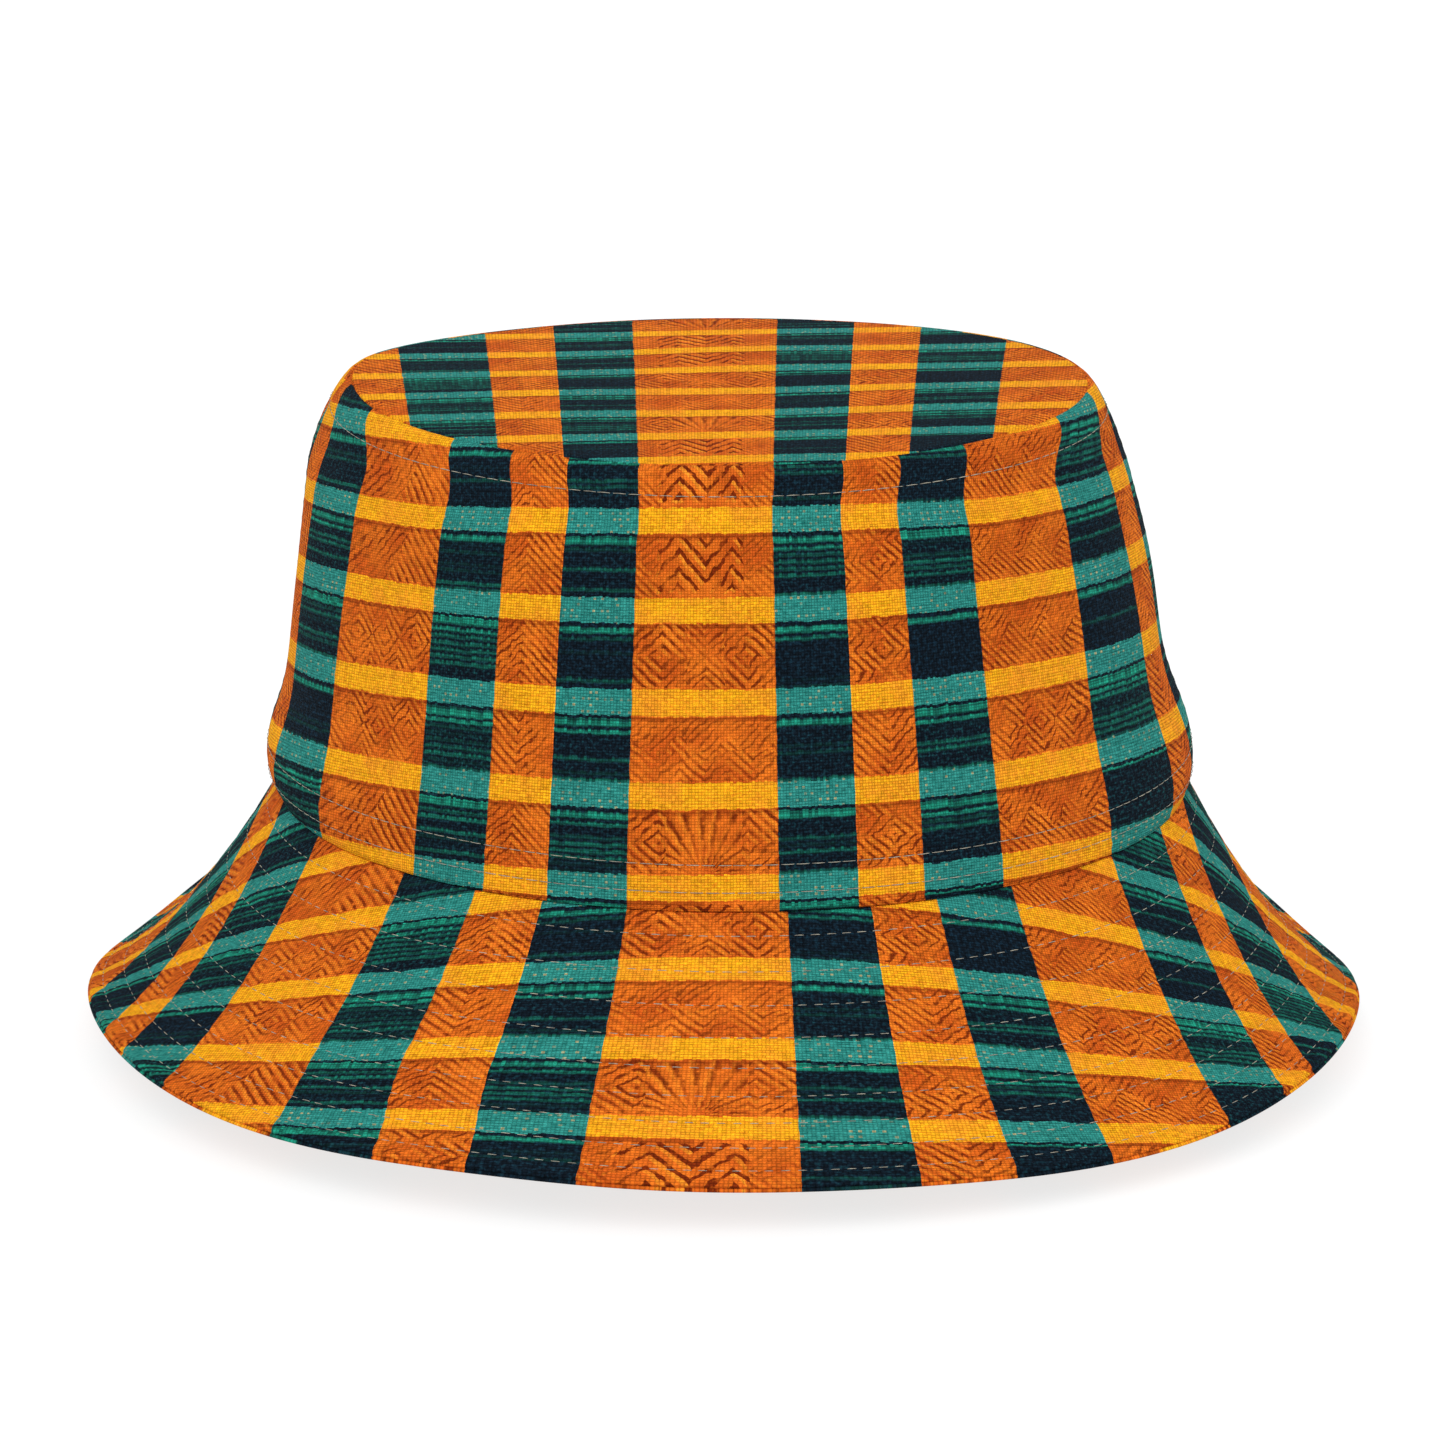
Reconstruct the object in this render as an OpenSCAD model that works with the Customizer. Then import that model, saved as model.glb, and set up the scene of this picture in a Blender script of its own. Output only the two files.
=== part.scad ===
// Bucket hat: sewn cloth crown and brim, lined, with a sweatband and rows of topstitching.
// The wearer faces -Y, +Z is up, and Z = 0 is the plane that the brim's hem rests on.

/* [Head opening] */
// Side-to-side width of the outer cloth at the head seam
head_width = 186; // [170:1:200]
// Front-to-back length of every ring over its side-to-side width
oval = 1.08; // [1:0.01:1.15]

/* [Crown] */
// Height of the tip seam above the head seam
crown_height = 78; // [65:1:95]
// Side-to-side width of the tip panel at its seam
tip_width = 147; // [130:1:160]
// How far the middle of the tip stands above its seam
tip_dome = 2; // [0:0.5:6]
// Height of the rounded shoulder below the tip seam
shoulder_height = 13; // [8:1:18]
// How far the shoulder rolls inward to the tip seam
shoulder_inset = 6.5; // [3:0.5:9]

/* [Brim] */
// Horizontal reach of the brim at the sides
brim_reach = 38; // [30:1:50]
// Drop from the head seam to the hem
brim_drop = 48; // [30:1:55]
// Share of the drop that the brim's bell curve adds near the head seam
brim_bell = 0.35; // [0:0.05:0.5]

/* [Cloth] */
// Thickness of the outer cloth
cloth_t = 0.8; // [0.5:0.1:1.2]
// Thickness of the crown lining
lining_t = 0.6; // [0.4:0.1:1]
// Thickness of the brim's stiff interlining
interlining_t = 0.5; // [0.3:0.1:0.8]
// Clear space between two plies
ply_gap = 0.15; // [0.1:0.05:0.3]

/* [Sweatband] */
// Height of the sweatband
sweatband_height = 30; // [20:1:35]
// Thickness of the sweatband
sweatband_t = 0.9; // [0.5:0.1:1.2]
// Height of the blank care label
label_height = 14; // [10:1:18]

/* [Stitching] */
// Thickness of the sewing thread
thread_d = 0.5; // [0.3:0.1:0.7]
// Number of stitching rows round the brim
brim_rows = 9; // [3:1:9]
// Distance of the row on the shoulder below the tip seam
tip_row_drop = 7; // [5:0.5:10]
// Heights of the two rows above the head seam
head_rows = [4, 9]; // [2:0.5:12]

/* [Hidden] */
$fn = 96;

head_r = head_width / 2;
tip_r = tip_width / 2;
hem_r = head_r + brim_reach;

// Heights above the rest plane
seam_z = brim_drop;
tip_z = seam_z + crown_height;
shoulder_z = tip_z - shoulder_height;

// The side seams are left open by a hair, so that the two halves stay separate solids.
half_turn = 179.8;
seam_slit = (180 - half_turn) / 2;

// Clearances that let the tip sink inside the crown, and the brim rise round it
tip_clear = 1.4;
brim_clear = 0.25;

// The flat that the hem's underside rests on is cut this deep.
hem_flat = 0.8;

// Plies of the brim are stacked straight down, so a ply's height is its thickness over the slope's cosine.
ply_slope = 1 / cos(45);
upper_h = cloth_t * ply_slope;
interlining_h = interlining_t * ply_slope;
gap_h = ply_gap * ply_slope;
interlining_top = -upper_h - gap_h;
lower_top = interlining_top - interlining_h - gap_h;
brim_stack_h = -lower_top + upper_h;

steps = 6;
shoulder_turn = 75;

orange = [0.86, 0.43, 0.07];
teal = [0.07, 0.46, 0.42];
navy = [0.03, 0.10, 0.15];
yellow = [0.95, 0.66, 0.08];
undyed = [0.90, 0.88, 0.82];

// Outer face of the crown wall as [radius, height], from the head seam up to the tip seam
function crown_curve() = concat(
    [for (i = [0 : steps]) let (t = i / steps)
        [head_r + (tip_r + shoulder_inset - head_r) * t, seam_z + (shoulder_z - seam_z) * t]],
    [for (i = [1 : steps]) let (a = shoulder_turn * i / steps)
        [tip_r + shoulder_inset * (cos(a) - cos(shoulder_turn)) / (1 - cos(shoulder_turn)),
         shoulder_z + shoulder_height * sin(a) / sin(shoulder_turn)]]
);

// Height of the brim's upper face at a radius, from the rest plane
function brim_height(r) =
    let (t = (r - head_r) / brim_reach, hem_top = brim_stack_h - hem_flat)
    seam_z + (hem_top - seam_z) * ((1 + brim_bell) * t - brim_bell * t * t);

function brim_curve(first, last) = [for (i = [0 : steps])
    let (r = first + (last - first) * i / steps) [r, brim_height(r)]];

function unit(v) = v / norm(v);
function reversed(list) = [for (i = [len(list) - 1 : -1 : 0]) list[i]];

// Outward normal of a curve that climbs with its outside on the right
function normal_at(curve, i) =
    let (a = curve[max(i - 1, 0)], b = curve[min(i + 1, len(curve) - 1)], d = unit(b - a))
    [d[1], -d[0]];

// The curve moved inward by a distance
function inset(curve, d) = [for (i = [0 : len(curve) - 1]) curve[i] - d * normal_at(curve, i)];

// The part of the crown curve that lies below a height
function below(curve, z) =
    let (kept = [for (p = curve) if (p[1] < z) p], a = kept[len(kept) - 1], b = curve[len(kept)])
    concat(kept, [a + (b - a) * (z - a[1]) / (b[1] - a[1])]);

// A point on the crown curve at a height, moved outward by a distance
function on_crown(z, out) =
    let (low = below(crown_curve(), z), last = len(low) - 1)
    low[last] + out * normal_at(low, last);

module oval_turn(start, angle) {
    scale([1, oval, 1]) rotate_extrude(angle = angle, start = start) children();
}

// A whole ring or disc, swept as two half turns
module full_turn() {
    oval_turn(0, 180) children();
    oval_turn(180, 180) children();
}

module front_half() { oval_turn(180 + seam_slit, half_turn) children(); }
module back_half() { oval_turn(seam_slit, half_turn) children(); }

// A ply of the crown wall between two depths below its outer face
module crown_ply(curve, outer, inner) {
    polygon(concat(inset(curve, outer), reversed(inset(curve, inner))));
}

// A ply of the brim: the upper face's curve lowered to top, with height h
module brim_ply(top, h) {
    curve = brim_curve(head_r + brim_clear, hem_r);
    polygon(concat(
        [for (p = curve) p + [0, top]],
        reversed([for (p = curve) p + [0, top - h]])
    ));
}

module tip_ply(top, thickness, radius) {
    rim_z = tip_z - top;
    upper = [for (i = [0 : steps]) let (t = i / steps) [radius * t, rim_z + tip_dome * (1 - t * t)]];
    polygon(concat(upper, reversed([for (p = upper) p - [0, thickness]])));
}

// One closed row of thread, with an eight-sided section
module thread_ring(centre) {
    full_turn() translate(centre) circle(d = thread_d, $fn = 8);
}

// The brim's stitching rows, as radii, spread evenly between a first row at the head seam and a last row at the hem
row_margin = 2.4;
row_pitch = (brim_reach - 2 * row_margin) / (brim_rows - 1);
row_radii = [for (i = [0 : brim_rows - 1]) head_r + row_margin + i * row_pitch];
thread_lift = thread_d * 0.8;
row_end_gap = 2;
side_row_turn = 1.5;

lining_depth = cloth_t + ply_gap;
sweatband_depth = lining_depth + lining_t + ply_gap;
label_depth = sweatband_depth + sweatband_t + ply_gap;
label_t = 0.3;
label_angle = 9;

// Crown tip: the oval top panel
module crown_tip() {
    color(orange) full_turn() tip_ply(0, cloth_t, tip_r - tip_clear);
}

module lining_tip() {
    color(teal) full_turn() tip_ply(cloth_t + ply_gap, lining_t, tip_r - tip_clear);
}

// Side band: two panels joined at the wearer's left and right
module side_panel_front() {
    color(orange) front_half() crown_ply(crown_curve(), 0, cloth_t);
}

module side_panel_back() {
    color(orange) back_half() crown_ply(crown_curve(), 0, cloth_t);
}

module lining_side_front() {
    color(teal) front_half() crown_ply(crown_curve(), lining_depth, lining_depth + lining_t);
}

module lining_side_back() {
    color(teal) back_half() crown_ply(crown_curve(), lining_depth, lining_depth + lining_t);
}

// Brim: upper cloth, stiff interlining and under cloth, each in two halves
module brim_upper_front() {
    color(yellow) front_half() brim_ply(0, upper_h);
}

module brim_upper_back() {
    color(yellow) back_half() brim_ply(0, upper_h);
}

module brim_interlining_front() {
    color(undyed) front_half() brim_ply(interlining_top, interlining_h);
}

module brim_interlining_back() {
    color(undyed) back_half() brim_ply(interlining_top, interlining_h);
}

// Everything below the rest plane, which trims the hem flat
module ground() {
    size = 4 * hem_r;
    translate([-size / 2, -size / 2, -size]) cube(size);
}

module brim_lower_front() {
    color(yellow) difference() {
        front_half() brim_ply(lower_top, upper_h);
        ground();
    }
}

module brim_lower_back() {
    color(yellow) difference() {
        back_half() brim_ply(lower_top, upper_h);
        ground();
    }
}

// Sweatband: a tape round the inside of the head opening
module sweatband() {
    band = below(crown_curve(), seam_z + sweatband_height);
    color(navy) full_turn() crown_ply(band, sweatband_depth, sweatband_depth + sweatband_t);
}

module care_label() {
    foot = below(crown_curve(), seam_z + sweatband_height / 2 + label_height / 2);
    strip = [for (p = foot) if (p[1] > seam_z + sweatband_height / 2 - label_height / 2) p];
    color(undyed) oval_turn(90 - label_angle / 2, label_angle)
        crown_ply(strip, label_depth, label_depth + label_t);
}

// Topstitching, one closed thread for each row
module tip_topstitch() {
    color(undyed) thread_ring(on_crown(tip_z - tip_row_drop, thread_lift));
}

// Two rows up each side seam, stopping short of the rows that run round the crown
module side_seam_topstitch() {
    low = seam_z + head_rows[1] + row_end_gap;
    high = tip_z - tip_row_drop - row_end_gap;
    line = [for (p = below(crown_curve(), high)) if (p[1] > low) p];
    turn = thread_d / head_r * 180 / PI;
    color(undyed) for (side = [0, 180], a = [-side_row_turn, side_row_turn])
        oval_turn(side + a - turn / 2, turn)
            crown_ply(line, -thread_lift - thread_d / 2, -thread_lift + thread_d / 2);
}

module head_seam_topstitch() {
    color(undyed) for (h = head_rows) thread_ring(on_crown(seam_z + h, thread_lift));
}

module brim_topstitch() {
    color(undyed) for (r = row_radii) thread_ring([r, brim_height(r) + thread_lift * ply_slope]);
}

module brim_underside_stitch() {
    color(undyed) for (r = row_radii)
        thread_ring([r, brim_height(r) - brim_stack_h - thread_lift * ply_slope]);
}

module sweatband_stitch() {
    inside = sweatband_depth + sweatband_t + thread_lift;
    color(undyed) thread_ring(on_crown(seam_z + head_rows[0], -inside));
}

crown_tip();
lining_tip();
side_panel_front();
side_panel_back();
lining_side_front();
lining_side_back();
brim_upper_front();
brim_upper_back();
brim_interlining_front();
brim_interlining_back();
brim_lower_front();
brim_lower_back();
sweatband();
care_label();
tip_topstitch();
side_seam_topstitch();
head_seam_topstitch();
sweatband_stitch();
brim_topstitch();
brim_underside_stitch();
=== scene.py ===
import math
import random

import bpy
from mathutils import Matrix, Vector


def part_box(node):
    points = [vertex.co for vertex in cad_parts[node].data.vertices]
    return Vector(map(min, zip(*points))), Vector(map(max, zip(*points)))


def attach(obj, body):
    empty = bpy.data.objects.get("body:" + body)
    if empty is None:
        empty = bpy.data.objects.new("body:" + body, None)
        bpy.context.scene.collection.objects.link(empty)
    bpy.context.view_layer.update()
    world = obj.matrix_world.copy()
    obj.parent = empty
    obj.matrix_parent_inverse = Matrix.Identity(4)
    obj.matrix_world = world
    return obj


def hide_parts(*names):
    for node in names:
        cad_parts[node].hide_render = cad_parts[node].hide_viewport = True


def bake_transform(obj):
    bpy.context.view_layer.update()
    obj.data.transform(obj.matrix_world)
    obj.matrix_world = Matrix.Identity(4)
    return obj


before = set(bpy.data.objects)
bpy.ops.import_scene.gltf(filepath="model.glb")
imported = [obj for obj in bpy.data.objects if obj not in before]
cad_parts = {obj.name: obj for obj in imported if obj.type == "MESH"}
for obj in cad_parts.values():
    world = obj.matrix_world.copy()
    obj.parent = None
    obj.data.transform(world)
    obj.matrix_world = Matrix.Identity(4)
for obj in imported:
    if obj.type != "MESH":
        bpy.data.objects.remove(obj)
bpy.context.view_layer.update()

MM = 0.001
DICE = random.Random(11)

# ---------------------------------------------------------------- sizes, from the frame
BAND_LOW, BAND_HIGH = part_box("side_panel_front")
HEAD_R = BAND_HIGH.x
SEAM_Z = BAND_LOW.z
TIP_Z = BAND_HIGH.z
HEM_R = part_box("brim_upper_front")[1].x
CROWN_H = TIP_Z - SEAM_Z
REACH = HEM_R - HEAD_R
SLANT = math.hypot(REACH, SEAM_Z)
TIP_CLEARANCE = 1.4 * MM
TIP_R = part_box("crown_tip")[1].x + TIP_CLEARANCE
BAND_TOP_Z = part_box("sweatband")[1].z

# Front-to-back length over side-to-side width of the three rings
OVAL_HEAD = -BAND_LOW.y / HEAD_R
OVAL_TIP = OVAL_HEAD + 0.02
OVAL_HEM = OVAL_HEAD - 0.05

# How much lower each seam lies at the wearer's left and right than at the front
SAG_TIP = -1.6 * MM
SAG_HEAD = 1.6 * MM

# Wall: nearly straight up to the shoulder, then a soft corner to the tip seam. WALL_LEAN is inward over up.
SHOULDER_H = 60 * MM
WALL_LEAN = 0.17
CORNER_POWER = 1.35

# The head seam sits this far towards the wearer's left of the crown
SEAM_SHIFT = 2.0 * MM

# Bulges of the wall: degrees round from the front, width in degrees, height above the head seam,
# spread upward, and how far out. They fade out over the last FOOT_FADE down to the head seam.
BULGES = (
    (85, 34, 10 * MM, 11 * MM, 2.7 * MM),
    (-85, 34, 8 * MM, 9 * MM, 3.2 * MM),
    (88, 40, 40 * MM, 16 * MM, 1.2 * MM),
    (88, 34, 66 * MM, 11 * MM, -1.1 * MM),
    (35, 22, 30 * MM, 22 * MM, 0.8 * MM),
    (-42, 20, 46 * MM, 20 * MM, 0.7 * MM),
    (-10, 16, 12 * MM, 14 * MM, 0.6 * MM),
    (150, 26, 16 * MM, 16 * MM, 1.6 * MM),
    (-150, 30, 22 * MM, 18 * MM, 1.4 * MM),
)
FOOT_FADE = 3 * MM

# Folds of the hem: degrees round from the front, width in degrees, and rise
HEM_LEVEL = 9.2 * MM
FOLDS = (
    (-104, 20, -7.0 * MM),
    (-68, 20, 1.6 * MM),
    (-20, 14, 1.0 * MM),
    (35, 18, -1.8 * MM),
    (68, 20, 1.6 * MM),
    (101, 20, -7.2 * MM),
    (145, 20, 1.5 * MM),
    (180, 30, -6.6 * MM),
    (-140, 20, 1.0 * MM),
)
# How far the hem stands out past its smallest radius: degrees round, width in degrees, and size
HEM_INSET = 3.0 * MM
SPREADS = (
    (-50, 32, 5.4 * MM),
    (52, 28, 6.8 * MM),
    (150, 22, 2.6 * MM),
    (-148, 20, 3.0 * MM),
)

# Where the tip's outline stands out from its plain oval: degrees round, width in degrees, and size.
# The wall below takes part in it from CORNER_START of its height upward.
TIP_CORNERS = (
    (-106, 18, 3.0 * MM),
    (-145, 20, -1.2 * MM),
    (128, 22, 0.8 * MM),
)
CORNER_START = 0.3

# The tip's dome and unevenness, and its edge turned down at the seam: outward, and down
TIP_DOME = 1.6 * MM
TIP_UNEVENNESS = 0.5 * MM
TIP_EDGE = (
    (0.35 * MM, 0.45 * MM),
    (0.45 * MM, 1.5 * MM),
)

# The wall's edges turned in at its seams: inward and up at its foot, and inward, down and along at its top
WALL_FOOT = (
    (1.6 * MM, 0.3 * MM),
    (0.5 * MM, 0.1 * MM),
)
WALL_FOOT_LIFT = 0.35 * MM
WALL_TOP = (
    (0.5 * MM, 0.35 * MM, 0.6 * MM),
    (0.9 * MM, 1.3 * MM, 1.6 * MM),
)

# Grooves where the front and back panels meet, along the wall's stitch rows and along the brim's
PANEL_GROOVE = 0.45 * MM
BRIM_GROOVE = 0.35 * MM
GROOVE_WIDTH = 0.8 * MM
ROW_GROOVE = 0.16 * MM
ROW_GROOVE_WIDTH = 1.0 * MM
QUILT = 0.25 * MM
QUILT_WIDTH = 0.9 * MM

# Steepness added to the brim at the head seam and taken off at the hem: all round, and more at the sides
BRIM_CURL = 0.4
BRIM_SIDE_CURL = 0.2

# Plies: thickness, depth of each brim ply below the face, and depth of each inner ply inside the wall
CLOTH = 0.6 * MM
LINING = 0.5 * MM
STIFFENER = 0.35 * MM
TAPE = 0.9 * MM
LABEL = 0.3 * MM
STIFFENER_DROP = 0.95 * MM
UNDER_DROP = 1.55 * MM
LINING_DEPTH = 1.3 * MM
SWEATBAND_DEPTH = 2.3 * MM
LABEL_DEPTH = 3.6 * MM
BAND_FACE_DEPTH = LABEL_DEPTH - 0.35 * MM
UNDER_FACE = UNDER_DROP + CLOTH * 1.35
TIP_INSET = 0.75 * MM
TIP_LINING_INSET = 2.6 * MM

# The blank label: its lowest and highest edge above the head seam, and degrees round from the front
LABEL_LOW, LABEL_HIGH = 8 * MM, 23 * MM
LABEL_START, LABEL_END = 175.5, 184.5

# Stitch rows
TIP_ROW = 7 * MM
HEAD_ROWS = (4 * MM, 9 * MM)
BRIM_ROWS = 9
BRIM_ROW_MARGIN = 2.4 * MM
STITCH_PITCH = 3.0 * MM
STITCH_LENGTH = 2.5 * MM
THREAD_R = 0.075 * MM
STITCH_SINK, STITCH_RISE = -0.22 * MM, 0.05 * MM
SIDE_ROW_MARGIN = 2.5 * MM
SIDE_ROW_DEGREES = 1.5

# Mesh fineness
TURN_STEPS = 170
BRIM_STEPS = 76
WALL_STEPS = 64
TIP_RINGS = 36
CURVE_STEPS = 60
LABEL_STEPS = 12

# Print, in millimetres: stripes that repeat in u, bands that repeat in v
WIDE = 24.6
NAVY = 13.3
OUTER_NAVY = 15.1
NARROW = 13.4
REPEAT = WIDE + 2 * NAVY + NARROW
BAND = 4.8
ROW = 16.8
MM_PER_DEGREE = 1.4
THREAD_PITCH = 0.53

# Details inside the print, in millimetres: half the height of a block's line work, how far a line's lit edge
# lies from it, the distance between green lines on navy, and the cells that hold the teal bands' flecks
LINE_WORK_HALF = 5.7
LIT_U, LIT_V = 0.45, -0.5
GREEN_PITCH = 1.25
FLECK_U, FLECK_V = 1.35, 1.15

# The middle stripe's blocks come in this many kinds, one row after another
KINDS = 5

# Print position v at the wall's foot, at the brim's head seam and near the tip's front edge
WALL_START = 7.1 + 5 * ROW
BRIM_START = 41.8
TIP_START = 103.2


# ---------------------------------------------------------------- the hat's surfaces
def mix(a, b, t):
    return a + (b - a) * t


def bell(x, width):
    """1 where x is 0, falling off to either side."""
    return math.exp(-(x / width) ** 2)


def smooth(x, low, high):
    """0 up to low, 1 from high on, with a soft step between."""
    t = min(max((x - low) / (high - low), 0), 1)
    return t * t * (3 - 2 * t)


def angle_from(theta, degrees):
    """Degrees between a direction round the hat and another, at most 180."""
    return abs((math.degrees(theta) - degrees + 180) % 360 - 180)


def bumps(theta, table):
    """The sum of a table's bumps in one direction round the hat."""
    return sum(size * bell(angle_from(theta, middle), width) for middle, width, size in table)


def brim_row_share(i):
    """How far out on the brim a stitch row lies, from 0 at the head seam to 1 at the hem."""
    return (BRIM_ROW_MARGIN + (REACH - 2 * BRIM_ROW_MARGIN) * i / (BRIM_ROWS - 1)) / REACH


def wall_curve(count):
    """The crown wall's outer profile as (radius, height above the head seam), bottom to top."""
    corner_r = HEAD_R - WALL_LEAN * SHOULDER_H
    corner_h = CROWN_H - SHOULDER_H
    power = 2 / CORNER_POWER
    straight = [(HEAD_R - WALL_LEAN * SHOULDER_H * i / count, SHOULDER_H * i / count) for i in range(count)]
    corner = []
    for i in range(count // 2 + 1):
        a = math.pi / 2 * i / (count // 2)
        corner.append((
            TIP_R + (corner_r - TIP_R) * math.cos(a) ** power,
            SHOULDER_H + corner_h * math.sin(a) ** power,
        ))
    return straight + corner


def resampled(curve, count):
    """The same curve with evenly spaced points, each with its distance along the curve."""
    lengths = [0.0]
    for a, b in zip(curve, curve[1:]):
        lengths.append(lengths[-1] + math.dist(a, b))
    points, j = [], 0
    for i in range(count + 1):
        want = lengths[-1] * i / count
        while j < len(curve) - 2 and lengths[j + 1] < want:
            j += 1
        t = (want - lengths[j]) / (lengths[j + 1] - lengths[j])
        points.append((mix(curve[j][0], curve[j + 1][0], t), mix(curve[j][1], curve[j + 1][1], t), want))
    return points


def inset(points, depth):
    """A profile moved inward, square to itself."""
    moved = []
    for i, (r, h, length) in enumerate(points):
        before, after = points[max(i - 1, 0)], points[min(i + 1, len(points) - 1)]
        dr, dh = after[0] - before[0], after[1] - before[1]
        size = math.hypot(dr, dh)
        moved.append((r - depth * dh / size, h + depth * dr / size, length))
    return moved


WALL = resampled(wall_curve(CURVE_STEPS), WALL_STEPS)
WALL_LENGTH = WALL[-1][2]


def crown_unevenness(theta, h):
    """How far the wall stands out from its plain oval shape. It is slight at the tip seam."""
    t = min(max(h / CROWN_H, 0), 1)
    fade = math.sin(math.pi * t)
    wave = 0.4 * math.sin(3 * theta + 1.1) + 0.3 * math.sin(5 * theta + 0.4 + 30 * h)
    wave += 0.2 * math.sin(9 * theta + 2.0 + 80 * h)
    out = 0.8 * MM * fade * wave + SEAM_SHIFT * math.sin(theta) * bell(max(h, 0), 22 * MM)
    foot = min(1, max(h, 0) / FOOT_FADE)
    for middle, width, height, spread, size in BULGES:
        out += size * bell(angle_from(theta, middle), width) * bell(h - height, spread) * foot
    return out


def seam_dip(theta, r):
    """Share of the groove where the front and back panels meet at the hat's sides."""
    away = min(angle_from(theta, 90), angle_from(theta, -90))
    return bell(math.radians(away) * r, GROOVE_WIDTH)


def crown_point(theta, r, h):
    """A point of the crown: theta runs round from the front, r out and h up from the head seam."""
    t = h / CROWN_H
    oval = mix(OVAL_HEAD, OVAL_TIP, t)
    r = r + crown_unevenness(theta, h) - PANEL_GROOVE * seam_dip(theta, r)
    r += bumps(theta, TIP_CORNERS) * smooth(t, CORNER_START, 1)
    z = SEAM_Z + h - mix(SAG_HEAD, SAG_TIP, t) * math.sin(theta) ** 2
    return Vector((r * math.sin(theta), -r * oval * math.cos(theta), z))


def hem_height(theta):
    return HEM_LEVEL + bumps(theta, FOLDS)


def hem_radius(theta):
    return HEM_R - HEM_INSET + bumps(theta, SPREADS)


def brim_point(theta, s, drop=0.0):
    """A point of the brim: s runs from 0 at the head seam to 1 at the hem, drop is a ply's depth."""
    sideways = math.sin(theta) ** 2
    inner = HEAD_R + SEAM_SHIFT * math.sin(theta)
    r = mix(inner, hem_radius(theta), s)
    oval = mix(OVAL_HEAD, OVAL_HEM, s)
    top = SEAM_Z - SAG_HEAD * sideways
    curl = BRIM_CURL + BRIM_SIDE_CURL * sideways
    z = top - (top - hem_height(theta)) * ((1 + curl) * s - curl * s * s)
    z -= BRIM_GROOVE * seam_dip(theta, r)
    for i in range(BRIM_ROWS):
        z -= QUILT * bell((s - brim_row_share(i)) * SLANT, QUILT_WIDTH)
    return Vector((r * math.sin(theta), -r * oval * math.cos(theta), z - drop))


# ---------------------------------------------------------------- print coordinates
# These say which part of the print, in millimetres, lies at a point of the cloth. Their coefficients bend the
# stripes and bands as they lie on the sewn hat. a is in degrees from the middle of a front or back panel.
def from_centre(theta, back, offset):
    """Degrees round from the middle of a panel's print. The front's print is turned by an offset."""
    return math.degrees(theta) - 180 if back else math.degrees(theta) + offset


def panel_print(u, v, back):
    """The back panels carry the same print, moved by half a repeat and two rows."""
    return (u + REPEAT / 2, v + 2 * ROW) if back else (u, v)


def wall_print(theta, length, back):
    """The wall's stripes run up from the head seam, and its bands sag towards the sides."""
    a = from_centre(theta, back, 2.0)

    # Stripes are wider round the sides and over the shoulder, and a little narrower right and far left
    stretch = max(0, abs(a) - 50) * 0.38
    u = MM_PER_DEGREE * math.copysign(abs(a) - stretch, a)
    u = u * 1.055 if a > 0 else u - 0.06 * max(0, -u - 40)
    u *= 1 - 0.09 * smooth(length, WALL_LENGTH - 12 * MM, WALL_LENGTH)

    # Bands are lower at the sides, and more so on the upper wall
    sag = 0.00129 * a * a - 0.03 * a
    sag += (1 + 2.2 * min(1, abs(a) / 40) ** 2) * smooth(length, 45 * MM, 75 * MM)
    v = WALL_START - length / MM - sag
    return panel_print(u, v, back)


def brim_print(theta, s, back):
    """The stripes spread towards the hem at the front, and run straighter towards the sides."""
    a = from_centre(theta, back, 1.5 + 1.1 * s)

    # Past 30 degrees the stripes crowd together, more so towards the hem, and not quite alike left and right
    side = max(0, abs(a) - 30) / 40
    spread = side * (2.8 + 12.8 * s) + side * side * (6.3 * s - 0.9) - 5.7 * side ** 3
    u = MM_PER_DEGREE * math.copysign(abs(a) + spread, a)
    u += 0.05 * max(0, u - 25) + 0.055 * min(max(0, -u), 55)
    u -= 3.4 * bell(a + 28, 15) * smooth(s, 0.55, 1.05)

    # Bands follow the hem in the middle, and run out to it towards the sides
    beyond = max(0, abs(a) - 78)
    p = min(abs(a), 78) / 60
    v = BRIM_START + 72.2 * s - 16.2 * s * s
    v += p * p * (21 * s - 37.9) + p ** 4 * (4.7 - 23.4 * s) - 1.8 * beyond
    v += 1.6 * bell(a - 38, 18) - 1.1 * bell(a + 12, 18) * (1 - s)
    return panel_print(u, v, back)


def tip_print(x, y):
    """The tip's stripes spread a little towards the back, and its bands lie slightly askew."""
    x, y = x / MM, y / MM

    # t runs from 0 at the tip's front to about 1 at its back
    t = (y + 81) / 161
    u = (x + 2.8 + 0.9 * t) / (1 + 0.33 * t)
    z = y + 75.9
    return u + 0.03 * max(0, u), TIP_START - 0.885 * z + 0.00094 * z * z + 0.08 * x


# ---------------------------------------------------------------- mesh building
def link(name, data):
    """A new object in the scene, for a mesh, a lamp or a camera."""
    obj = bpy.data.objects.new(name, data)
    bpy.context.scene.collection.objects.link(obj)
    return obj


def smooth_mesh(name, verts, faces, material):
    mesh = bpy.data.meshes.new(name)
    mesh.from_pydata(verts, [], faces)
    mesh.polygons.foreach_set("use_smooth", [True] * len(mesh.polygons))
    mesh.materials.append(material)
    return mesh


def cloth(name, verts, uvs, faces, material, thickness):
    """A piece of cloth from its outer face, with each point's print position kept as the UV map."""
    mesh = smooth_mesh(name, verts, faces, material)
    layer = mesh.uv_layers.new(name="print")
    for loop in mesh.loops:
        layer.data[loop.index].uv = uvs[loop.vertex_index]
    obj = link(name, mesh)
    solid = obj.modifiers.new("thickness", "SOLIDIFY")
    solid.thickness = thickness
    solid.offset = -1
    solid.use_even_offset = False
    return obj


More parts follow.
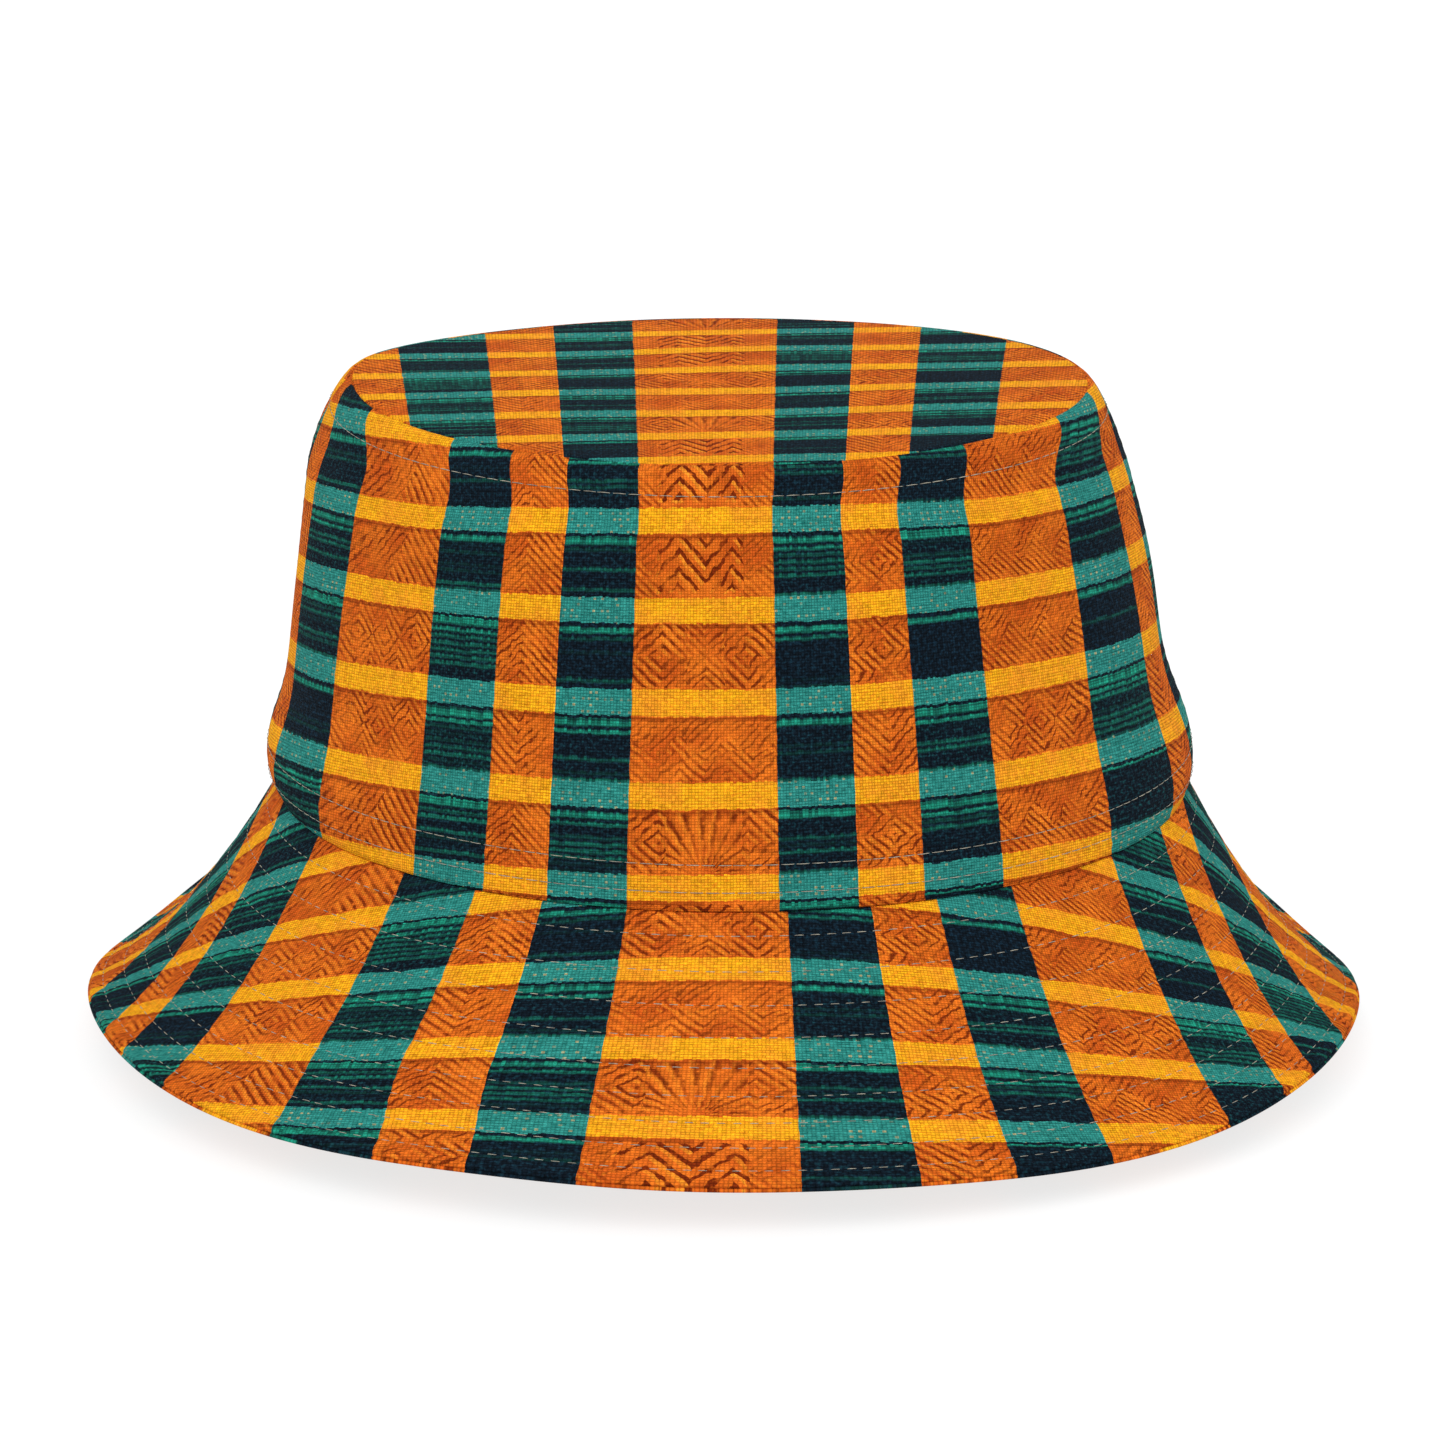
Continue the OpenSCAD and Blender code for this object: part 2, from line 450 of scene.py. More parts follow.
def sheet(name, place, coords, columns, rows, material, thickness):
    """A smooth grid of cloth. place(column, row) gives a point and coords(column, row) its print position."""
    wide = len(columns)
    verts = [place(c, r) for r in rows for c in columns]
    uvs = [coords(c, r) for r in rows for c in columns]
    faces = []
    for j in range(len(rows) - 1):
        for i in range(wide - 1):
            a = j * wide + i
            faces.append((a, a + 1, a + 1 + wide, a + wide))
    return cloth(name, verts, uvs, faces, material, thickness)


def turn(start, end, steps=2 * TURN_STEPS):
    """Evenly spaced directions round the hat, given in degrees from the front."""
    return [math.radians(mix(start, end, i / steps)) for i in range(steps + 1)]


def half_round(start):
    """Directions across a half of the hat, closer together at its two side seams."""
    edge = [0, 0.3, 0.6, 1.0, 1.5]
    inner = [mix(2.2, 177.8, i / TURN_STEPS) for i in range(TURN_STEPS + 1)]
    degrees = edge + inner + [180 - e for e in reversed(edge)]
    return [math.radians(start + d) for d in degrees]


FRONT = half_round(-90)
BACK = half_round(90)
ROUND = turn(-180, 180)


# ---------------------------------------------------------------- shader arithmetic
class Number:
    """A number that varies over the cloth: the output of a shader node, with arithmetic."""

    def __init__(self, tree, socket):
        self.tree = tree
        self.socket = socket

    def calc(self, operation, *others):
        """This number, and others if the operation takes them, put through one maths node."""
        node = self.tree.nodes.new("ShaderNodeMath")
        node.operation = operation
        for slot, value in zip(node.inputs, (self,) + others):
            feed(self.tree, slot, value)
        return Number(self.tree, node.outputs[0])

    def __add__(self, other):
        return self.calc("ADD", other)

    def __sub__(self, other):
        return self.calc("SUBTRACT", other)

    def __mul__(self, other):
        return self.calc("MULTIPLY", other)

    def __truediv__(self, other):
        return self.calc("DIVIDE", other)

    def __rsub__(self, other):
        return self * -1 + other

    __radd__ = __add__
    __rmul__ = __mul__

    def __abs__(self):
        return self.calc("ABSOLUTE")

    def over(self, limit):
        return self.calc("GREATER_THAN", limit)

    def under(self, limit):
        return self.calc("LESS_THAN", limit)

    def floor(self):
        return self.calc("FLOOR")

    def fold(self, size):
        """Distance to the nearest whole multiple of size."""
        return self.calc("PINGPONG", size / 2)

    def ramp(self, low, high):
        """0 up to low, 1 from high on, with a soft step between."""
        node = self.tree.nodes.new("ShaderNodeMapRange")
        node.interpolation_type = "SMOOTHSTEP"
        feed(self.tree, node.inputs["Value"], self)
        node.inputs["From Min"].default_value = low
        node.inputs["From Max"].default_value = high
        return Number(self.tree, node.outputs["Result"])

    def stroke(self, half_width, soft=0.16):
        """1 on a line where this number is zero, fading out past the line's half width."""
        return 1 - abs(self).ramp(half_width - soft, half_width + soft)


def feed(tree, slot, value):
    """Links a number or a socket to a node's slot, or sets a plain value there."""
    if isinstance(value, Number):
        tree.links.new(value.socket, slot)
    elif hasattr(value, "is_output"):
        tree.links.new(value, slot)
    else:
        slot.default_value = value


def vector(tree, x, y, z=0.0):
    node = tree.nodes.new("ShaderNodeCombineXYZ")
    for slot, value in zip(node.inputs, (x, y, z)):
        feed(tree, slot, value)
    return node.outputs[0]


def noise(tree, place, scale, detail=2.0):
    """Soft noise between 0 and 1."""
    node = tree.nodes.new("ShaderNodeTexNoise")
    feed(tree, node.inputs["Vector"], place)
    node.inputs["Scale"].default_value = scale
    node.inputs["Detail"].default_value = detail
    return Number(tree, node.outputs["Fac"])


def dice(tree, x, y, z=0.0):
    """A fixed random number for each whole x, y, z."""
    node = tree.nodes.new("ShaderNodeTexWhiteNoise")
    node.noise_dimensions = "3D"
    feed(tree, node.inputs["Vector"], vector(tree, x, y, z))
    return Number(tree, node.outputs["Value"])


def colour(code):
    """A linear colour from the usual six-digit screen code."""
    levels = [int(code[i:i + 2], 16) / 255 for i in (0, 2, 4)]
    return tuple(c / 12.92 if c <= 0.04045 else ((c + 0.055) / 1.055) ** 2.4 for c in levels) + (1.0,)


def blend_colours(tree, a, b, amount, mode="MIX"):
    node = tree.nodes.new("ShaderNodeMix")
    node.data_type = "RGBA"
    node.blend_type = mode
    feed(tree, node.inputs["Factor"], amount)
    feed(tree, node.inputs[6], a)
    feed(tree, node.inputs[7], b)
    return node.outputs[2]


def choose(a, b, amount):
    """a where amount is 0 and b where it is 1."""
    return (b - a) * amount + a


# ---------------------------------------------------------------- cloth materials
ORANGE_DARK, ORANGE_PALE, ORANGE_DEEP = "CB581A", "EE7A22", "B84A14"
RUST, BROWN, AMBER = "90380F", "782A0C", "F09028"
YELLOW, YELLOW_DEEP = "FAB41C", "E99018"
TEAL, TEAL_DARK, TAN = "37948A", "1E7069", "C8A76A"
NAVY_DARK, NAVY_BLUE, GREEN = "0F171F", "172F40", "24A184"
LINING_TEAL, LINING_PALE = "123039", "24505A"
CANVAS, CANVAS_PALE = "D8D3C4", "EFEBDF"
CREAM, CREAM_PALE = "DCD8CC", "F2EFE6"
TAPE_DARK, TAPE_PALE = "0C1822", "20394A"
THREAD_GREY, THREAD_PALE = "77736A", "ABA796"


def new_material(name):
    material = bpy.data.materials.new(name)
    material.use_nodes = True
    tree = material.node_tree
    shader = tree.nodes["Principled BSDF"]
    shader.inputs["Roughness"].default_value = 0.88
    shader.inputs["Specular IOR Level"].default_value = 0.02
    shader.inputs["Sheen Weight"].default_value = 0.004
    shader.inputs["Sheen Roughness"].default_value = 0.5
    return material, tree, shader


def print_position(tree):
    """The print coordinates u and v, in millimetres."""
    uv = tree.nodes.new("ShaderNodeUVMap")
    uv.uv_map = "print"
    split = tree.nodes.new("ShaderNodeSeparateXYZ")
    tree.links.new(uv.outputs[0], split.inputs[0])
    return Number(tree, split.outputs[0]), Number(tree, split.outputs[1])


def weave(u, v, pitch):
    """Height of a plain weave: threads pass over and under by turns."""
    cu, cv = u / pitch, v / pitch
    across = abs((cu.calc("FRACT") - 0.5) * 2)
    along = abs((cv.calc("FRACT") - 0.5) * 2)
    turn_over = (cu.floor() + cv.floor()).fold(2)
    weft = (1 - along * along) * (1 - 0.45 * across * across)
    warp = (1 - across * across) * (1 - 0.45 * along * along)
    return choose(weft, warp, turn_over)


def bump(tree, shader, height, distance):
    node = tree.nodes.new("ShaderNodeBump")
    node.inputs["Distance"].default_value = distance
    node.inputs["Strength"].default_value = 1.0
    feed(tree, node.inputs["Height"], height)
    tree.links.new(node.outputs[0], shader.inputs["Normal"])


def hatching(x, q, side):
    """Slanting lines that lean one way or the other, as side is 0 or 1."""
    return choose((x + q).fold(1.75), (x - q).fold(1.75), side).stroke(0.3)


def wide_motif(tree, x, q, column, row, kind):
    """Dark line work of a wide block. x and q are measured from its middle; kind counts rows 0 to 4."""
    luck = dice(tree, column, row, 3.0)
    peaks = q + 1.4 * (x.fold(8.4) - 2.1)
    triangles = hatching(x, q, peaks.over(0))
    diamonds = (x.fold(8.2) + abs(q)).fold(1.9).stroke(0.32)
    slanted = hatching(x * 0.8, q * 0.7, (x + q * 0.5).over(1.5))
    plain = choose(choose(triangles, diamonds, luck.over(0.4)), slanted, luck.over(0.72))

    ridge = q + 1.25 * (abs(x.fold(9.6)) - 2.4)
    bold = ridge.fold(3.3).stroke(0.5) * abs(q + 0.3).under(4.9) * 1.8
    bold = choose(triangles * 0.7, bold, abs(x + 0.8).under(7.4))
    paired = (abs(abs(x) - 7.4) + abs(q)).fold(2.1).stroke(0.36)
    crossed = choose(paired, hatching(x, q, (x * q).over(0)), abs(x).under(3.2))
    faint = choose(triangles, diamonds, q.over(0.4)) * 0.75
    low = 6.4 - q
    rays = low.calc("ARCTAN2", x).fold(0.23).stroke(0.04, 0.03) * (x * x + low * low).over(5)
    sunburst = choose(paired, rays, abs(x).under(6.2))

    centre = choose(bold, crossed, kind.over(1.5))
    centre = choose(centre, faint, kind.over(2.5))
    centre = choose(centre, sunburst, kind.over(3.5))
    return choose(plain, centre, abs(column).under(0.5))


def narrow_motif(tree, x, q, column, row):
    """Line work of a narrow block: diamonds, chevrons or slanting hatching."""
    luck = dice(tree, column, row, 6.0)
    diamonds = (abs(x) + abs(q).fold(7.6)).fold(1.9).stroke(0.32)
    chevrons = (q + abs(x)).fold(2.0).stroke(0.32)
    slanted = hatching(x, q, x.over(0))
    return choose(choose(diamonds, chevrons, luck.over(0.35)), slanted, luck.over(0.7))


class Print:
    """A point of the printed cloth: its threads, its block of the print, and the noises its colours share."""

    def __init__(self, tree):
        self.tree = tree
        u0, v0 = print_position(tree)
        self.u0, self.v0 = u0, v0
        self.place = vector(tree, u0, v0)

        # Each thread has its own small difference in tone and place
        warp = (u0 / THREAD_PITCH).floor()
        weft = (v0 / THREAD_PITCH).floor()
        self.warp_luck = dice(tree, warp, (v0 / 5).floor(), 11.0)
        self.weft_luck = dice(tree, (u0 / 6).floor(), weft, 12.0)
        self.thread_luck = dice(tree, warp, weft, 13.0)

        # The print's edges wander a little
        u = u0 + (noise(tree, self.place, 0.35) - 0.5) * 0.4
        v = v0 + (noise(tree, vector(tree, u0, v0, 9.0), 0.3) - 0.5) * 0.7 + (self.warp_luck - 0.5) * 0.3

        # Stripes: each repeat has a wide orange one in its middle, navy on both sides, and half a narrow one
        self.column = (u / REPEAT + 0.5).floor()
        self.is_middle = abs(self.column).under(0.5)
        self.x = u - self.column * REPEAT
        navy_end = choose(WIDE / 2 + OUTER_NAVY, WIDE / 2 + NAVY, self.is_middle)
        self.is_navy = abs(self.x).over(WIDE / 2) * abs(self.x).under(navy_end)
        self.is_narrow = abs(self.x).over(navy_end)
        self.side = self.x.over(0)
        self.x_narrow = self.x - (REPEAT / 2) * (self.side * 2 - 1)

        # Rows: each starts with a band, and its block follows
        self.row = (v / ROW).floor()
        self.q = v - self.row * ROW
        self.is_band = self.q.under(BAND)
        self.block_q = self.q - (BAND + ROW) / 2
        self.kind = self.row - (self.row / KINDS).floor() * KINDS
        self.block = self.column + self.side * 0.5

        self.grain = noise(tree, vector(tree, u0 * 0.4, v0 * 1.2), 2.4, 4.0)
        self.mottle = noise(tree, vector(tree, u0, v0, 21.0), 0.14, 3.0)
        self.fine = noise(tree, self.place, 1.5, 4.0)
        self.patchy = noise(tree, vector(tree, u0, v0, 4.0), 0.17, 3.0).ramp(0.33, 0.6)

    def luck(self, seed):
        """A fixed random number for each block of the print."""
        return dice(self.tree, self.block, self.row, seed)


def line_work(p):
    """The dark line work of the orange blocks, and the lit edge beside each line."""
    rough = (noise(p.tree, p.place, 0.5, 3.0) - 0.5) * 1.5
    inside = abs(p.block_q).under(LINE_WORK_HALF) * (1 - p.is_band) * (1 - p.is_navy)
    broken = noise(p.tree, vector(p.tree, p.u0, p.v0, 31.0), 0.75, 2.0).ramp(0.36, 0.5)
    strength = inside * (0.4 + 0.6 * p.patchy) * (0.35 + 0.65 * broken)

    def drawn(du, dq):
        q = p.block_q + rough + dq
        wide = wide_motif(p.tree, p.x + rough + du, q, p.column, p.row, p.kind)
        narrow = narrow_motif(p.tree, p.x_narrow + rough + du, q, p.column + p.side, p.row)
        return choose(wide, narrow, p.is_narrow) * strength

    lines = drawn(0, 0)
    lit = drawn(LIT_U, LIT_V) * (1 - lines)
    return lines, lit


def orange_blocks(p, lines, lit):
    """Mottled orange with a rust line below its band, the line work in brown, and a painted amber highlight
    beside each line.
    """
    tree = p.tree
    base = blend_colours(tree, colour(ORANGE_DARK), colour(ORANGE_PALE), p.mottle.ramp(0.3, 0.7))
    base = blend_colours(tree, base, colour(ORANGE_DEEP), (p.luck(7.0) * 0.5) * p.grain)
    base = blend_colours(tree, base, colour(RUST), p.fine.ramp(0.52, 0.8) * 0.55)
    top_line = (p.q - BAND - 0.55).stroke(0.4, 0.3) * p.luck(8.0).over(0.25)
    base = blend_colours(tree, base, colour(RUST), top_line * 0.75)
    # Painted highlight: amber beside each line, where an embossed line's edge would catch the light
    base = blend_colours(tree, base, colour(AMBER), lit * 0.55)
    return blend_colours(tree, base, colour(BROWN), lines * 0.95)


def yellow_bands(p):
    """Yellow with amber clouds and faint orange hatching."""
    tree = p.tree
    base = blend_colours(tree, colour(YELLOW_DEEP), colour(YELLOW), p.grain.ramp(0.3, 0.62))
    base = blend_colours(tree, base, colour(AMBER), p.mottle.ramp(0.4, 0.75) * 0.7)
    hatch = hatching(p.x, p.q, p.mottle.over(0.5)) * (1 - p.patchy) * 0.3
    return blend_colours(tree, base, colour(ORANGE_PALE), hatch)


def teal_bands(p):
    """Teal with small tan flecks, at most one in each cell of a fine grid."""
    tree = p.tree
    cell_u, cell_v = p.u0 / FLECK_U, p.v0 / FLECK_V
    shift = dice(tree, cell_u.floor(), cell_v.floor(), 14.0)
    near = abs(cell_u.calc("FRACT") - 0.3 - 0.4 * shift).under(0.17)
    near = near * abs(cell_v.calc("FRACT") - 0.5).under(0.19)
    fleck = near * dice(tree, cell_u.floor(), cell_v.floor(), 16.0).over(0.55)
    base = blend_colours(tree, colour(TEAL_DARK), colour(TEAL), p.grain.ramp(0.3, 0.65))
    base = blend_colours(tree, base, colour(TEAL_DARK), p.fine.ramp(0.5, 0.75) * 0.6)
    return blend_colours(tree, base, colour(TAN), fleck * (0.15 + 0.45 * p.weft_luck))


def navy_blocks(p):
    """Navy with fine green lines across it, denser in some blocks than in others and at the top of each."""
    tree = p.tree
    busy = p.luck(5.0) * choose(1.25, 0.45, p.is_middle)
    depth = p.q - BAND
    level = depth / GREEN_PITCH
    line_luck = dice(tree, level.floor(), p.block * 7 + p.row, 2.0)
    high = 1 - depth.ramp(2.0, 5.5) * 0.62
    bright = (line_luck + (busy - 0.5) * 0.7).ramp(0.42, 0.9) * high
    line = (level.calc("FRACT") - 0.5).stroke(0.26, 0.2)
    top_line = (depth - 1.5).stroke(0.5, 0.3) * 0.8 * p.luck(15.0).over(0.2)
    dashed = 0.35 + 0.65 * p.warp_luck
    streak = (bright * line).calc("MAXIMUM", top_line) * dashed * depth.over(0.6)
    haze = p.fine.ramp(0.5, 0.8) * 0.18 * busy
    base = blend_colours(tree, colour(NAVY_DARK), colour(NAVY_BLUE), p.fine.ramp(0.42, 0.7) * 0.8)
    return blend_colours(tree, base, colour(GREEN), streak.calc("MAXIMUM", haze))


def printed_cloth():
    """Plain-weave cloth printed with striped and banded blocks."""
    material, tree, shader = new_material("printed_cloth")
    p = Print(tree)
    lines, lit = line_work(p)
    warm = blend_colours(tree, orange_blocks(p, lines, lit), yellow_bands(p), p.is_band)
    cool = blend_colours(tree, navy_blocks(p), teal_bands(p), p.is_band)
    base = blend_colours(tree, warm, cool, p.is_navy)

    # Painted shade in the weave: the gaps between threads are darker, and each thread has its own random tone
    # on top
    threads = weave(p.u0, p.v0, THREAD_PITCH)
    weave_shade_and_tone = 0.55 + 0.5 * threads + (p.thread_luck - 0.5) * 0.28
    weave_shade_and_tone = weave_shade_and_tone + (p.warp_luck + p.weft_luck - 1) * 0.12 + (p.fine - 0.5) * 0.5
    shaded = blend_colours(tree, base, vector(tree, weave_shade_and_tone, weave_shade_and_tone, weave_shade_and_tone), 1.0, "MULTIPLY")
    tree.links.new(shaded, shader.inputs["Base Color"])
    height = threads * 0.8 + noise(tree, p.place, 2.2, 3.0) * 0.5 - lines * 0.25 + lit * 0.1
    bump(tree, shader, height, 0.16 * MM)
    return material


def woven_cloth(name, code, pale_code, pitch):
    """Plain cloth of one colour, with its weave."""
    material, tree, shader = new_material(name)
    u, v = print_position(tree)
    place = vector(tree, u, v)
    threads = weave(u, v, pitch)
    grain = noise(tree, vector(tree, u * 0.4, v * 1.4), 2.2, 4.0)
    # Partly the cloth's own grain, partly painted shade: paler on the thread tops, darker in the gaps between
    # them
    base = blend_colours(tree, colour(code), colour(pale_code), grain * 0.6 + threads * 0.4)
    tree.links.new(base, shader.inputs["Base Color"])
    bump(tree, shader, threads * 0.7 + noise(tree, place, 2.0) * 0.4, 0.12 * MM)
    return material


def twill_tape():
    """Sweatband tape with slanting twill ribs."""
    material, tree, shader = new_material("sweatband_tape")
    u, v = print_position(tree)
    ribs = (u + v).fold(0.9) * 2.2
    grain = noise(tree, vector(tree, u, v), 2.0, 3.0)
    # Painted shade along the twill: rib tops are paler and the valleys between them darker, with the tape's
    # own grain mixed in
    base = blend_colours(tree, colour(TAPE_DARK), colour(TAPE_PALE), ribs * 0.7 + grain * 0.3)
    tree.links.new(base, shader.inputs["Base Color"])
    bump(tree, shader, ribs, 0.15 * MM)
    return material


def thread_material():
    """Greyish sewing thread."""
    material, tree, shader = new_material("thread")
    place = tree.nodes.new("ShaderNodeTexCoord").outputs["Object"]
    grain = noise(tree, place, 900.0, 3.0)
    base = blend_colours(tree, colour(THREAD_GREY), colour(THREAD_PALE), grain.ramp(0.3, 0.7))
    tree.links.new(base, shader.inputs["Base Color"])
    shader.inputs["Roughness"].default_value = 0.6
    bump(tree, shader, grain, 0.05 * MM)
    return material


PRINTED = printed_cloth()
LINED = woven_cloth("lining_cloth", LINING_TEAL, LINING_PALE, 0.5)
STIFF = woven_cloth("interlining", CANVAS, CANVAS_PALE, 0.7)
SATIN = woven_cloth("label_tape", CREAM, CREAM_PALE, 0.35)
TWILL = twill_tape()
THREAD = thread_material()


# ---------------------------------------------------------------- crown
def rolled_wall():
    """The wall's profile with both edges turned in at their seams."""
    (r, h, length), (end_r, end_h, end_length) = WALL[0], WALL[-1]
    foot = [(HEAD_R - inward, up, 0.0) for inward, up in WALL_FOOT] + [(r, h + WALL_FOOT_LIFT, length)]
    top = [(end_r - inward, end_h - down, end_length + along) for inward, down, along in WALL_TOP]
    return foot + WALL[1:] + top


def grooved(profile):
    """The wall drawn in slightly along its stitch rows."""
    rows = [*HEAD_ROWS, WALL_LENGTH - TIP_ROW]
    moved = []
    for r, h, length in profile:
        pull = sum(bell(length - at, ROW_GROOVE_WIDTH) for at in rows)
        moved.append((r - ROW_GROOVE * pull, h, length))
    return moved


def crown_sheet(name, profile, columns, back, material, thickness):
    """A piece that follows the crown's wall. Its profile holds (radius, height, distance up the cloth)."""
    return sheet(
        name,
        lambda theta, p: crown_point(theta, p[0], p[1]),
        lambda theta, p: wall_print(theta, p[2], back),
        columns, profile, material, thickness,
    )


def tip_height(x, y):
    """Height of the tip's outer face, with a slight dome and soft unevenness."""
    share = min(1.0, math.hypot(x / TIP_R, y / (TIP_R * OVAL_TIP)))
    across = (x / TIP_R) ** 2
    dome = TIP_DOME * (1 - share * share)
    uneven = TIP_UNEVENNESS * math.sin(60 * x + 1) * math.sin(45 * y) * (1 - share)
    return TIP_Z - SAG_TIP * across + dome + uneven


def tip_sheet(name, depth, reach, material, thickness):
    """The oval tip, as rings about a middle point, with its edge turned down at the seam."""
    verts, uvs = [Vector((0, 0, tip_height(0, 0) - depth))], [tip_print(0, 0)]

    def add_ring(share, out=0.0, down=0.0):
        for theta in ROUND[:-1]:
            r = (reach + bumps(theta, TIP_CORNERS)) * share + out
            x, y = r * math.sin(theta), -r * OVAL_TIP * math.cos(theta)
            verts.append(Vector((x, y, tip_height(x, y) - depth - down)))
            uvs.append(tip_print(x, y))

    for i in range(TIP_RINGS):
        add_ring((i + 1) / TIP_RINGS)
    for out, down in TIP_EDGE:
        add_ring(1, out, down)

    around = len(ROUND) - 1
    faces = [(1 + i, 1 + (i + 1) % around, 0) for i in range(around)]
    for j in range(TIP_RINGS + len(TIP_EDGE) - 1):
        for i in range(around):
            a, b = 1 + j * around + i, 1 + j * around + (i + 1) % around
            faces.append((a, a + around, b + around, b))
    return cloth(name, verts, uvs, faces, material, thickness)


# ---------------------------------------------------------------- brim
# Rows of each ply, from the head seam to the hem: share of the way out, and depth below the ply's own face.
# The face plies turn towards each other at the hem.
FLAT_ROWS = [(i / BRIM_STEPS, 0.0) for i in range(BRIM_STEPS + 1)]
FACE_ROWS = [
    (-0.03, 1.6 * MM), (-0.012, 0.5 * MM),
    *FLAT_ROWS[:-1],
    (0.994, 0.05 * MM), (1.004, 0.3 * MM), (1.008, 0.7 * MM), (1.005, 1.05 * MM),
]
UNDER_ROWS = [*FLAT_ROWS[:-1], (0.99, 0.0), (1.0, -0.2 * MM), (1.005, -0.5 * MM)]
STIFFENER_REACH = 0.975
STIFFENER_ROWS = [(s * STIFFENER_REACH, depth) for s, depth in FLAT_ROWS]


def brim_sheet(name, columns, back, drop, material, thickness, rows):
    """One ply of the brim, a drop below the brim's face."""
    return sheet(
        name,
        lambda theta, p: brim_point(theta, p[0], drop + p[1]),
        lambda theta, p: brim_print(theta, p[0] + p[1] / SLANT, back),
        columns, rows[::-1], material, thickness,
    )


# ---------------------------------------------------------------- stitches
# A stitch follows at(t, out): t runs along it from 0 to 1, and out is the distance above the cloth.
# A row follows point(theta, out) round the hat. Where the cloth's face points down or inward, sign is -1.
def add_stitch(verts, faces, at, sign=1):
    """A closed, grain-shaped stitch, thinner at its ends, which dip into the cloth."""
    sections, sides = 5, 6
    base = len(verts)
    ahead = (at(1, 0) - at(0, 0)).normalized()
    up = (at(0.5, MM * sign) - at(0.5, 0)).normalized()
    across = ahead.cross(up).normalized()
    for i in range(sections):
        t = i / (sections - 1)
        swell = math.sin(math.pi * mix(0.12, 0.88, t))
        middle = at(t, mix(STITCH_SINK, STITCH_RISE, swell) * sign)
        size = THREAD_R * mix(0.55, 1.0, swell)
        for k in range(sides):
            a = 2 * math.pi * k / sides
            verts.append(middle + (across * math.cos(a) + up * math.sin(a)) * size)
    for i in range(sections - 1):
        for k in range(sides):
            a, b = base + i * sides + k, base + i * sides + (k + 1) % sides
            faces.append((b, a, a + sides, b + sides))
    faces.append(tuple(base + k for k in range(sides)))
    faces.append(tuple(base + (sections - 1) * sides + k for k in reversed(range(sides))))


def ring_length(point):
    """Length of a row that runs all the way round the hat."""
    marks = [point(theta, 0) for theta in ROUND]
    return sum((b - a).length for a, b in zip(marks, marks[1:]))


def add_ring_row(verts, faces, point, sign):
    """Adds one row of separate stitches all the way round the hat."""
    count = round(ring_length(point) / STITCH_PITCH)
    step = 2 * math.pi / count
    half = STITCH_LENGTH / STITCH_PITCH * step / 2
    start = DICE.random() * step
    for n in range(count):
        a = start + n * step + DICE.uniform(-0.04, 0.04) * step
        add_stitch(verts, faces, lambda t, out: point(mix(a - half, a + half, t), out), sign)


def wall_row(profile, at):
    """A function that follows the wall round at a distance above the head seam."""
    i = min(range(len(profile)), key=lambda n: abs(profile[n][2] - at))
    before, after = profile[i - 1], profile[i + 1]
    dr, dh = after[0] - before[0], after[1] - before[1]
    size = math.hypot(dr, dh)
    r, h = profile[i][:2]
    return lambda theta, out: crown_point(theta, r + out * dh / size, h - out * dr / size)


def brim_row(share, drop):
    """A function that follows the brim round. Out is square to a slope of about 45 degrees."""
    def point(theta, out):
        tilt = math.sqrt(0.5)
        p = brim_point(theta, share, drop)
        return p + Vector((math.sin(theta) * tilt, -math.cos(theta) * tilt, tilt)) * out
    return point


def up_the_wall(theta, start):
    """A function that follows one stitch up the wall at a side seam."""
    def at(t, out):
        share = (start + t * STITCH_LENGTH) / WALL_LENGTH * (len(WALL) - 1)
        i = min(int(share), len(WALL) - 2)
        r = mix(WALL[i][0], WALL[i + 1][0], share - i)
        h = mix(WALL[i][1], WALL[i + 1][1], share - i)
        return crown_point(theta, r + out, h)
    return at


def stitch_piece(name, verts, faces):
    return link(name, smooth_mesh(name, verts, faces, THREAD))


def ring_stitches(name, points, sign=1):
    """One piece with a row of stitches round the hat for each point function."""
    verts, faces = [], []
    for point in points:
        add_ring_row(verts, faces, point, sign)
    return stitch_piece(name, verts, faces)


def side_stitches(name):
    """Two rows up each side seam, between the rows at the head seam and the tip seam."""
    verts, faces = [], []
    low = HEAD_ROWS[1] + SIDE_ROW_MARGIN
    high = WALL_LENGTH - TIP_ROW - SIDE_ROW_MARGIN
    for side in (-90, 90):
        for offset in (-SIDE_ROW_DEGREES, SIDE_ROW_DEGREES):
            theta = math.radians(side + offset)
            for n in range(int((high - low) / STITCH_PITCH)):
                add_stitch(verts, faces, up_the_wall(theta, low + n * STITCH_PITCH))
    return stitch_piece(name, verts, faces)


def fold_with_top(obj):
    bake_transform(obj)


def turn_with_brim(obj):
    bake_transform(obj)


def finish_piece(node):
    """Hides the CAD node that a piece stands for."""
    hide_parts(node)


